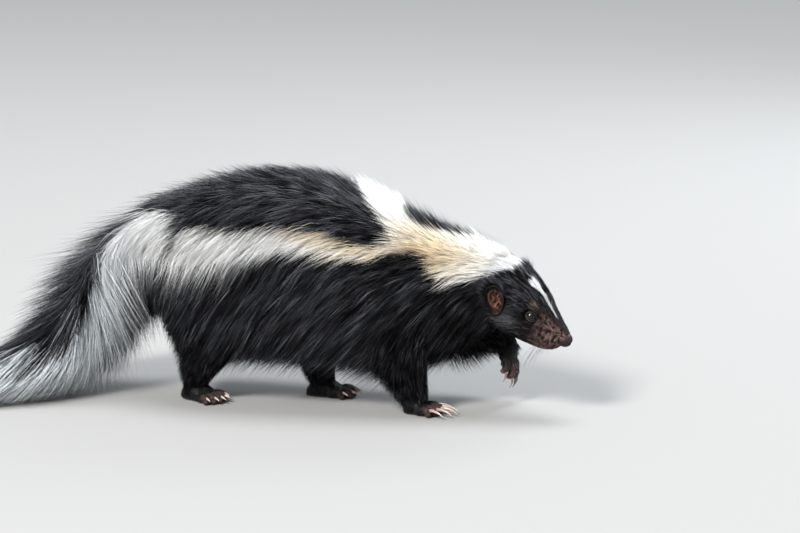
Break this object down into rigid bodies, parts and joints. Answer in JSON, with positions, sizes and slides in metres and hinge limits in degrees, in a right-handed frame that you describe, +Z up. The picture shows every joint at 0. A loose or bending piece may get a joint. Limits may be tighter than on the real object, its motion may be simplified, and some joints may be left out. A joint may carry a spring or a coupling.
{
  "type": "striped skunk",
  "caption": "Life-size striped skunk walking with one forefoot lifted, its long bushy tail laid down to the floor behind it.",
  "frame": {"origin": "middle of the bounding box, on the floor", "axes": "+X the way the animal walks, +Y its left, +Z up"},
  "size_m": [0.6112, 0.2548, 0.2148],
  "materials": {
    "black_fur": "long glossy black fur",
    "white_fur": "long white and cream fur",
    "bare_skin": "moist dark brown nose skin",
    "eye": "wet black eye",
    "foot": "pinkish-brown toes and pale horn claws"
  },
  "bodies": {
    "root": {"torso": "black_fur", "neck": "white_fur", "tail_base": "black_fur", "tail_middle": "white_fur", "tail_tip": "white_fur", "head": "black_fur", "nose": "bare_skin", "ear_left": "black_fur", "ear_right": "black_fur", "eye_left": "eye", "eye_right": "eye", "foreleg_left": "black_fur", "foreleg_right": "black_fur", "hindleg_left": "black_fur", "hindleg_right": "black_fur", "forefoot_left": "foot", "forefoot_right": "foot", "hindfoot_left": "foot", "hindfoot_right": "foot"}
  },
  "joints": []
}
